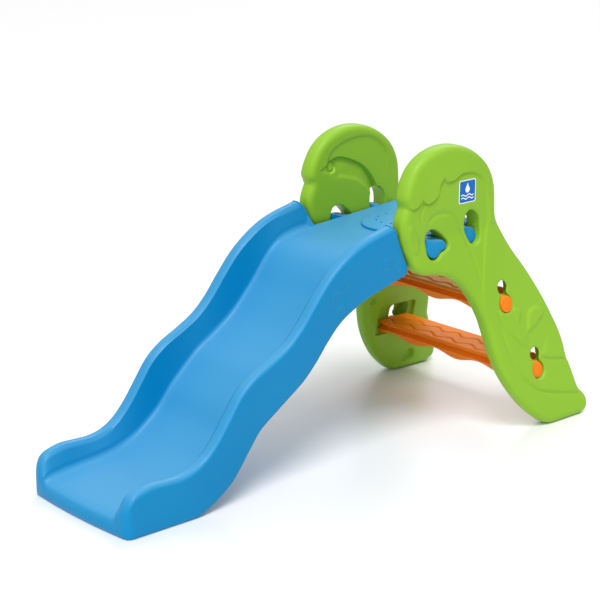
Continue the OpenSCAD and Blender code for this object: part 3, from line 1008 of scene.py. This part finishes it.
# %% Pegs on both sides
def add_pegs(piece, outline, root, reach, rim):
    """Adds a peg with a rounded end to a piece at the right panel, and one at the left."""
    for on_left in (False, True):
        peg = drawn_out("peg", outline, root, reach)
        round_rims(peg, (reach,), rim, segments=4)
        lean_out(peg)
        if on_left:
            right_peg = peg
            peg = mirrored(right_peg, "left_peg")
            bpy.data.objects.remove(right_peg, do_unlink=True)
        combine(piece, peg, "UNION")


# %% Chute pegs
FRONT_PEG = smooth_line([[962, 566], [976, 561], [997, 556], [1014, 555], [1028, 551], [1036, 541],
                         [1036, 532], [1028, 527], [1015, 524], [1005, 517], [994, 511], [982, 511],
                         [971, 517], [963, 528], [962, 545]], 3, True)
REAR_PEG = smooth_line([[1121, 566], [1137, 566], [1151, 561], [1158, 550], [1159, 540], [1154, 530],
                        [1143, 524], [1133, 526], [1124, 536], [1118, 552]], 3, True)
add_pegs(chute, FRONT_PEG, root=-8, reach=46, rim=6)
add_pegs(chute, REAR_PEG, root=-8, reach=35, rim=4)
print("chute with pegs:", len(chute.data.vertices), "points")

# %% Bubble rings
BUBBLES = ((831, 518, 14), (873, 507, 10), (692, 496, 9), (664, 454, 22))
RING_THICK = 1.6
RING_AT = RAIL_OUT - 1.1
for side in (-1, 1):
    for station, height, r in BUBBLES:
        start_clean()
        bpy.ops.mesh.primitive_torus_add(major_radius=r * MM, minor_radius=RING_THICK * MM,
                                         major_segments=48, minor_segments=10,
                                         location=(row_x(station), side * RING_AT * MM, height * MM),
                                         rotation=(math.radians(90), 0, 0))
        combine(chute, bpy.context.object, "UNION")
chute.data.materials.append(water_blue)
shade(chute, 38)
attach(chute, "slide")
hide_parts("slide_chute")
print("chute:", len(chute.data.polygons), "faces")

# %% [markdown]
# ## The steps
#
# A step is a hollow plank. Its tread has two wavy grooves for grip, its front face has a
# deep groove under the lip, and its lower skirt is scalloped. The skin is again a sheet of
# rings, one ring for every few millimetres from the left panel to the right one. A round
# peg at each end fills the lower part of the panel's keyhole.

# %% The ring of a step and its waves
STEP_TALL = 44
RINGS_PER_STEP = 141
SKIRT_SWING = 6.5
SKIRT_DROP = 3.5
SKIRT_PITCH = 164
SKIRT_CREST = 35
STEP_FRONT = [(11, -41), (7.5, -34), (5.5, -29), (3.6, -27.5), (2.4, -26), (3.2, -24.2), (7, -23.4),
              (14, -22), (17, -18.5), (16.4, -13), (11, -10.2), (3, -9.6), (0.4, -7.4), (0.4, -3.8),
              (2.2, -1.2), (6, 0)]
STEP_REAR = [(113, -0.3), (116.6, -1.8), (119, -4.6), (120, -8), (119.6, -15), (118.6, -22), (116.6, -29),
             (114, -35), (110.5, -40), (106, -43)]
# Each wavy groove: its distance from the front, its swing, its pitch, and where it crests.
GROOVES = {"upper_step": ((23, 7, 80, 74), (70, 8, 76, 11)),
           "lower_step": ((26, 9.5, 80, 74), (73, 9, 76, 11))}


def step_ring(y, grooves):
    """The ring of a step at y from its middle: distances from the front, and heights."""
    tread = np.linspace(8.5, 110.5, 70)
    height = np.zeros(len(tread))
    for from_front, swing, pitch, crest in grooves:
        line = from_front + swing * math.cos(2 * math.pi * (y - crest) / pitch)
        height += soft_groove(tread - line, width=2.8, depth=4.2)
    bottom = [(from_front, -STEP_TALL) for from_front in np.linspace(102, 14, 12)]
    ring = STEP_FRONT + list(zip(tread, height)) + STEP_REAR + bottom
    ring = np.array(ring + ring[:1])
    swing = math.cos(math.radians(360 * (y - SKIRT_CREST) / SKIRT_PITCH))
    wave = SKIRT_SWING * (1 + swing) - SKIRT_DROP
    ring[:, 1] += wave * smoothstep((-27 - ring[:, 1]) / 15)
    return ring


def make_step(name, corner_at, grooves, peg_reach):
    """A step between the panels, wrapped from rings, with a peg at each end."""
    rings = []
    for share in np.linspace(-1, 1, RINGS_PER_STEP):
        half_length = HEAD_INNER + LEAN * max(0, BEND_Z - corner_at[1]) + 10
        ring = step_ring(share * half_length, grooves)
        z = corner_at[1] + ring[:, 1]
        reach = HEAD_INNER + LEAN * (BEND_Z - z) + 9.5
        rings.append(np.column_stack([corner_at[0] + ring[:, 0], share * reach, z]))
    step = wrap_rings(name, rings)
    peg_line = circle_line(corner_at[0] + PEG_SEAT[0], corner_at[1] + PEG_SEAT[1],
                           PEG_SEAT[2] - 1.6, count=48)
    add_pegs(step, peg_line, root=4, reach=peg_reach, rim=3)
    step.data.materials.append(warm_orange)
    shade(step, 40)
    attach(step, "slide")
    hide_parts(name.replace("_skin", ""))
    print(name, len(step.data.polygons), "faces")


# %% Make both steps
make_step("upper_step_skin", UPPER_STEP, GROOVES["upper_step"], peg_reach=53)
make_step("lower_step_skin", LOWER_STEP, GROOVES["lower_step"], peg_reach=45)

# %% [markdown]
# ## The sprinkler and the hose connection
#
# Everything here is turned round one axis, square to the sloping platform. A profile of
# radii and heights is laid out once for each of many angles, like a lathe would cut it.
# The heights count along the axis from the platform's surface, where the gasket lies.

# %% Turned parts
gasket_low, gasket_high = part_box("sprinkler_gasket")
PLATFORM_FALL = math.radians(4.3)
axis_up = np.array([-math.sin(PLATFORM_FALL), 0, math.cos(PLATFORM_FALL)])
axis_side = np.array([math.cos(PLATFORM_FALL), 0, math.sin(PLATFORM_FALL)])
axis_across = np.array([0, 1.0, 0])
GASKET_THICK = 2.5
axis_foot = (np.array(gasket_low) + np.array(gasket_high)) / 2 / MM - GASKET_THICK / 2 * axis_up
axis_foot[0] -= foot_tip
UNDERSIDE = -62 * math.cos(PLATFORM_FALL)
NECK_TOP = UNDERSIDE - 14
COLLAR = NECK_TOP - 5.3
STEM_R = 12


def turned(name, profile, count=96, ribs=0, rib_tall=0.0, rib_where=(0, 0)):
    """A closed profile of (radius, height) turned round the sprinkler's axis."""
    profile = np.array(profile + profile[:1], float)
    rings = []
    for angle in np.radians(np.linspace(0, 360, count + 1)):
        r = profile[:, 0].copy()
        if ribs:
            ribbed = (r > rib_where[0]) * (profile[:, 1] < rib_where[1])
            r += ribbed * rib_tall * smoothstep((math.cos(ribs * angle) + 0.35) / 0.9)
        flat = np.outer(r, axis_side * math.cos(angle) + axis_across * math.sin(angle))
        rings.append(axis_foot + flat + np.outer(profile[:, 1], axis_up))
    return wrap_rings(name, rings)


def rounded_ring(inner, outer, low, high, r):
    """The profile of a flat ring with softened corners."""
    steps = np.radians([0, 30, 60, 90])
    out = [(outer - r + r * math.cos(a), high - r + r * math.sin(a)) for a in steps]
    out += [(inner + r - r * math.sin(a), high - r + r * math.cos(a)) for a in steps]
    out += [(inner + r - r * math.cos(a), low + r - r * math.sin(a)) for a in steps]
    out += [(outer - r + r * math.sin(a), low + r - r * math.cos(a)) for a in steps]
    return out


# %% The disc, its stem and its jets
THREAD_PITCH = 2.4
disc_profile = [(6, COLLAR - 3), (11, COLLAR - 3), (11.8, COLLAR - 2.2), (11.8, COLLAR), (9.5, COLLAR),
                (9.5, NECK_TOP), (11, NECK_TOP + 0.6)]
for ring_low in np.arange(NECK_TOP + 2, -6, THREAD_PITCH):
    disc_profile += [(STEM_R - 0.9, ring_low), (STEM_R, ring_low + 0.9), (STEM_R, ring_low + 1.4)]
disc_profile += [(STEM_R, 2.5), (30, 2.5), (34, 0.3), (88.6, 0.3), (90, 1.4), (90, 3.4), (89.4, 5.2),
                 (87.4, 6.8), (84, 7.7), (76, 8.6), (74.4, 8.5), (72.6, 8.7), (71, 9.1), (60, 10.1),
                 (46, 10.9), (32, 11.5), (30.4, 11.4), (28.8, 11.5), (27.2, 11.7), (14, 12.1), (5, 12.2),
                 (5, 9), (6, 8)]
disc = turned("sprinkler_disc_body", disc_profile, 120)
cap = turned("cap", [(0, 8.4), (6, 8.4), (6.2, 12.2), (4, 12.8), (0, 13)], 48)
combine(disc, cap, "UNION")
JETS = 10
JET_CIRCLE = 48
for jet in range(JETS):
    angle = math.radians(360 / JETS * jet)
    spot = axis_foot + JET_CIRCLE * (axis_side * math.cos(angle) + axis_across * math.sin(angle))
    for r, low, high, operation in ((3.4, 9, 12.4, "UNION"), (1.2, 7, 16, "DIFFERENCE")):
        at = spot + axis_up * (low + high) / 2
        start_clean()
        bpy.ops.mesh.primitive_cylinder_add(vertices=24, radius=r * MM, depth=(high - low) * MM,
                                            rotation=(0, -PLATFORM_FALL, 0),
                                            location=(row_x(at[0]), at[1] * MM, at[2] * MM))
        combine(disc, bpy.context.object, operation)
disc.data.materials.append(water_blue)
shade(disc, 32)
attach(disc, "slide")
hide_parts("sprinkler_disc")
print("disc:", len(disc.data.polygons), "faces")

# %% [markdown]
# The small parts get their own plastics: black rubber for the gasket and the washer, a dark
# plastic for the locknut, and an orange-yellow plastic for the nut of the hose.

# %% Six flats for the locknut
FLAT_AT = 18
BORE_SIDE = 13
SIXTH = math.pi / 3


def cut_six_flats(piece):
    """Pulls the outside of a turned piece in to a hexagon, and leaves its bore round."""
    co = points_of(piece) / MM
    co[:, 0] -= foot_tip
    off = co - axis_foot
    angle = np.arctan2(off @ axis_across, off @ axis_side)
    radius = np.hypot(off @ axis_side, off @ axis_across)
    to_flat = FLAT_AT / np.cos((angle + SIXTH / 2) % SIXTH - SIXTH / 2)
    radius = np.where(radius > BORE_SIDE, np.minimum(radius, to_flat), radius)
    co = axis_foot + np.outer(radius * np.cos(angle), axis_side)
    co += np.outer(radius * np.sin(angle), axis_across) + np.outer(off @ axis_up, axis_up)
    co[:, 0] += foot_tip
    pull_to(piece, co * MM)


# %% Gasket, locknut, hose nut and washer
black_rubber = moulded_plastic("black_rubber", (0.022, 0.022, 0.024), (0.015, 0.015, 0.017),
                               (0.03, 0.03, 0.03), 0.7, 0.8)
dark_plastic = moulded_plastic("dark_plastic", (0.045, 0.048, 0.052), (0.033, 0.035, 0.04),
                               (0.06, 0.06, 0.06), 0.45, 0.5)
nut_plastic = moulded_plastic("nut_plastic", (0.88, 0.27, 0.02), (0.8, 0.23, 0.015),
                              (0.9, 0.32, 0.04), 0.38, 0.3)

gasket = turned("gasket_ring", rounded_ring(STEM_R + 0.1, 26, 0, GASKET_THICK, 0.8))
nut_top = NECK_TOP - 2
hose_nut = turned("hose_nut_body",
                  [(9.58, nut_top), (14.6, nut_top), (15.8, nut_top - 0.6), (16.4, nut_top - 2),
                   (16.4, nut_top - 3), (16.4, nut_top - 3.6), (16.4, nut_top - 22.6),
                   (15.6, nut_top - 24), (13, nut_top - 24), (12.2, nut_top - 23),
                   (12.2, nut_top - 10), (12.8, nut_top - 9.6),
                   (12.8, nut_top - 3), (9.58, nut_top - 3)],
                  144, ribs=12, rib_tall=1.6, rib_where=(15.5, nut_top - 3.2))
washer_top = COLLAR - 3.3
washer = turned("washer_ring", rounded_ring(6.5, 11.8, washer_top - 2.5, washer_top, 0.5), 64)
locknut_low = UNDERSIDE - 10
locknut = turned("locknut_body", [(12.1, locknut_low), (17.4, locknut_low), (20.2, locknut_low + 1.6),
                                  (20.2, UNDERSIDE - 1), (19.4, UNDERSIDE), (12.1, UNDERSIDE)], 60)
cut_six_flats(locknut)
for piece, node, body, stuff, slot in (
        (gasket, "sprinkler_gasket", "slide", black_rubber, "black_rubber"),
        (locknut, "sprinkler_locknut", "slide", dark_plastic, "dark_plastic"),
        (hose_nut, "hose_swivel_nut", "hose_nut", nut_plastic, "nut_plastic"),
        (washer, "hose_washer", "hose_nut", black_rubber, "black_rubber")):
    piece.data.materials.append(stuff)
    shade(piece, 35)
    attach(piece, body)
    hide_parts(node)
    print(piece.name, len(piece.data.polygons), "faces")

# %% [markdown]
# ## The picture labels
#
# A small square label sits on the crown of each panel, outside. It is a thin white film
# with rounded corners, a blue field and a plain white drop over two waves. The label is
# lifted by the middle height of the pressed pattern under it, so it sits on the pressed surface.

# %% Labels
label_white = moulded_plastic("label_white_film", (0.86, 0.88, 0.88), (0.82, 0.85, 0.86),
                              (0.88, 0.88, 0.88), 0.3, 0.1)
label_blue = moulded_plastic("label_blue_ink", (0.004, 0.14, 0.50), (0.003, 0.12, 0.46),
                             (0.02, 0.16, 0.5), 0.3, 0.1)
LABEL_MIDDLE = ((label_low[0] + label_high[0]) / 2 / MM - foot_tip,
                (label_low[2] + label_high[2]) / 2 / MM)
LABEL_HALF = (label_high[0] - label_low[0]) / 2 / MM


def rounded_square(half, r):
    """A square with round corners, round the label's middle."""
    line = []
    for cx, cz, start in ((half - r, half - r, 0), (r - half, half - r, 90),
                          (r - half, r - half, 180), (half - r, r - half, 270)):
        line += circle_line(cx, cz, r, start, start + 90, 8)
        line += circle_line(cx, cz, r, start + 90, count=1)
    return line


def wave_band(middle, swing, thick, half):
    """A band of two full waves, from one side of the label to the other."""
    xs = np.linspace(-half, half, 25)
    wave = middle + swing * np.sin(xs / half * 2 * math.pi)
    return list(zip(xs, wave + thick / 2)) + list(zip(xs, wave - thick / 2))[::-1]


def film(name, line, lift, thick, stuff):
    """A thin film that lies on the pressed surface of the panel's outer face."""
    outline = [(LABEL_MIDDLE[0] + x, LABEL_MIDDLE[1] + z) for x, z in line]
    piece = drawn_out(name, outline, 0, thick)
    piece.data.materials.append(stuff)
    co = points_of(piece) / MM
    co[:, 1] += HEAD_INNER + PANEL_THICK + lift
    co[:, 1] += np.median(outer_pattern(flat_view(co)))
    pull_to(piece, co * MM)
    return piece


drop_shape = [(0, 17), (3.4, 10.5), (7, 4), (8, -0.5), (6.6, -5), (3.6, -7.6), (0, -8.4), (-3.6, -7.6),
              (-6.6, -5), (-8, -0.5), (-7, 4), (-3.4, 10.5)]
drop_line = [(x, z + 5) for x, z in smooth_line(drop_shape, 4, True)]
films = [film("label_film", rounded_square(LABEL_HALF, 5), 0, 0.8, label_white),
         film("label_field", rounded_square(LABEL_HALF - 2.6, 4), 0.6, 0.35, label_blue),
         film("label_drop", drop_line, 0.8, 0.3, label_white),
         film("label_wave", wave_band(-10, 2.2, 3, LABEL_HALF - 8), 0.8, 0.3, label_white),
         film("label_low_wave", wave_band(-18, 2.2, 3, LABEL_HALF - 8), 0.8, 0.3, label_white)]
start_clean()
for piece in films:
    piece.select_set(True)
bpy.context.view_layer.objects.active = films[0]
bpy.ops.object.join()
right_label = films[0]
right_label.name = "right_label_film"
left_label = mirrored(right_label, "left_label_film")
for piece, node in ((right_label, "right_label"), (left_label, "left_label")):
    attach(piece, "slide")
    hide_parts(node)
print("labels:", len(left_label.data.polygons), "faces each")
